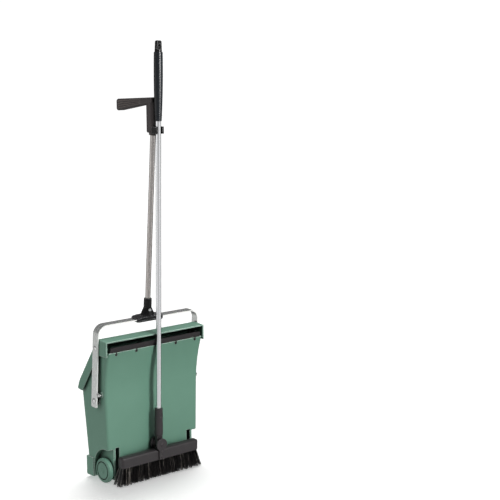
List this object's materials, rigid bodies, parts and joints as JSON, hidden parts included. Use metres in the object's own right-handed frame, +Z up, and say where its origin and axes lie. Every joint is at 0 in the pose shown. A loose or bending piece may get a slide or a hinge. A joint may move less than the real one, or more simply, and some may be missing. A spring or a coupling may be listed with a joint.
{
  "type": "upright lobby dustpan with broom",
  "caption": "Upright lidded dustpan on wheels with a folding bail, a pole with a side grip and a swivel-head broom held in a clip.",
  "frame": {"origin": "middle of the bounding box in X and Y, on the floor that the wheels and rear pads stand on", "axes": "+X to the right when facing the front panel, +Y to the back, +Z up along the pole"},
  "size_m": [0.3112, 0.1704, 1.0752],
  "materials": {
    "green_plastic": "moulded, satin",
    "wheel_plastic": "moulded, satin",
    "black_rubber": "matt",
    "bright_steel": "bright flat bar",
    "rivet_steel": "polished head",
    "pole_metal": "drawn tube, satin",
    "black_plastic": "moulded, matt",
    "grip_plastic": "fine grain",
    "sleeve_plastic": "soft gloss",
    "head_plastic": "moulded, satin",
    "bristle_fibre": "drawn fibre"
  },
  "bodies": {
    "bin": {"pan_body": "green_plastic", "lip_rubber": "black_rubber", "wheel_axles": "rivet_steel", "pivot_bushes": "black_plastic", "pivot_washers": "rivet_steel", "pivot_rivets": "rivet_steel", "stop_studs": "rivet_steel"},
    "wheel_left": {"wheel_left": "wheel_plastic", "wheel_cap_left": "wheel_plastic"},
    "wheel_right": {"wheel_right": "wheel_plastic", "wheel_cap_right": "wheel_plastic"},
    "bail": {"bail_strap": "bright_steel", "lid_rivets": "rivet_steel", "lid_washers": "black_plastic", "pole_bracket": "black_plastic", "bracket_clamp": "black_plastic", "bracket_screws": "rivet_steel", "cross_bolt": "rivet_steel", "cross_nut": "rivet_steel", "pole_tube": "pole_metal", "handle_grip": "grip_plastic", "broom_clip": "black_plastic", "clip_screw": "rivet_steel"},
    "lid": {"hood": "green_plastic"},
    "broom": {"broom_socket": "head_plastic", "socket_pin": "head_plastic", "broom_tube": "pole_metal", "broom_grip": "sleeve_plastic", "hang_cap": "sleeve_plastic"},
    "broom_head": {"head_block": "head_plastic", "swivel_bracket": "head_plastic", "swivel_pin": "head_plastic", "bracket_rivets": "head_plastic", "bristles": "bristle_fibre"}
  },
  "joints": [
    {"name": "wheel_left_spin", "type": "hinge", "parent": "bin", "child": "wheel_left", "pos_m": [-0.129, 0.00218, 0.031], "axis": [1, 0, 0], "continuous": true},
    {"name": "wheel_right_spin", "type": "hinge", "parent": "bin", "child": "wheel_right", "pos_m": [0.129, 0.00218, 0.031], "axis": [1, 0, 0], "continuous": true},
    {"name": "bail_fold", "type": "hinge", "parent": "bin", "child": "bail", "pos_m": [0, 0.00618, 0.211], "axis": [-1, 0, 0], "range_deg": [0, 80]},
    {"name": "lid_lift", "type": "hinge", "parent": "bail", "child": "lid", "pos_m": [0, -0.00499, 0.34403], "axis": [1, 0, 0], "range_deg": [0, 20]},
    {"name": "broom_lift", "type": "slide", "parent": "bin", "child": "broom", "axis": [0, -0.6, 0.8], "range_m": [0, 0.26]},
    {"name": "head_swivel", "type": "hinge", "parent": "broom", "child": "broom_head", "pos_m": [0, -0.04782, 0.0835], "axis": [0, 0.9996, 0.028], "range_deg": [-80, 80]}
  ],
  "couplings": [
    {"joint": "lid_lift", "follows": "bail_fold", "ratio": 0.25}
  ]
}
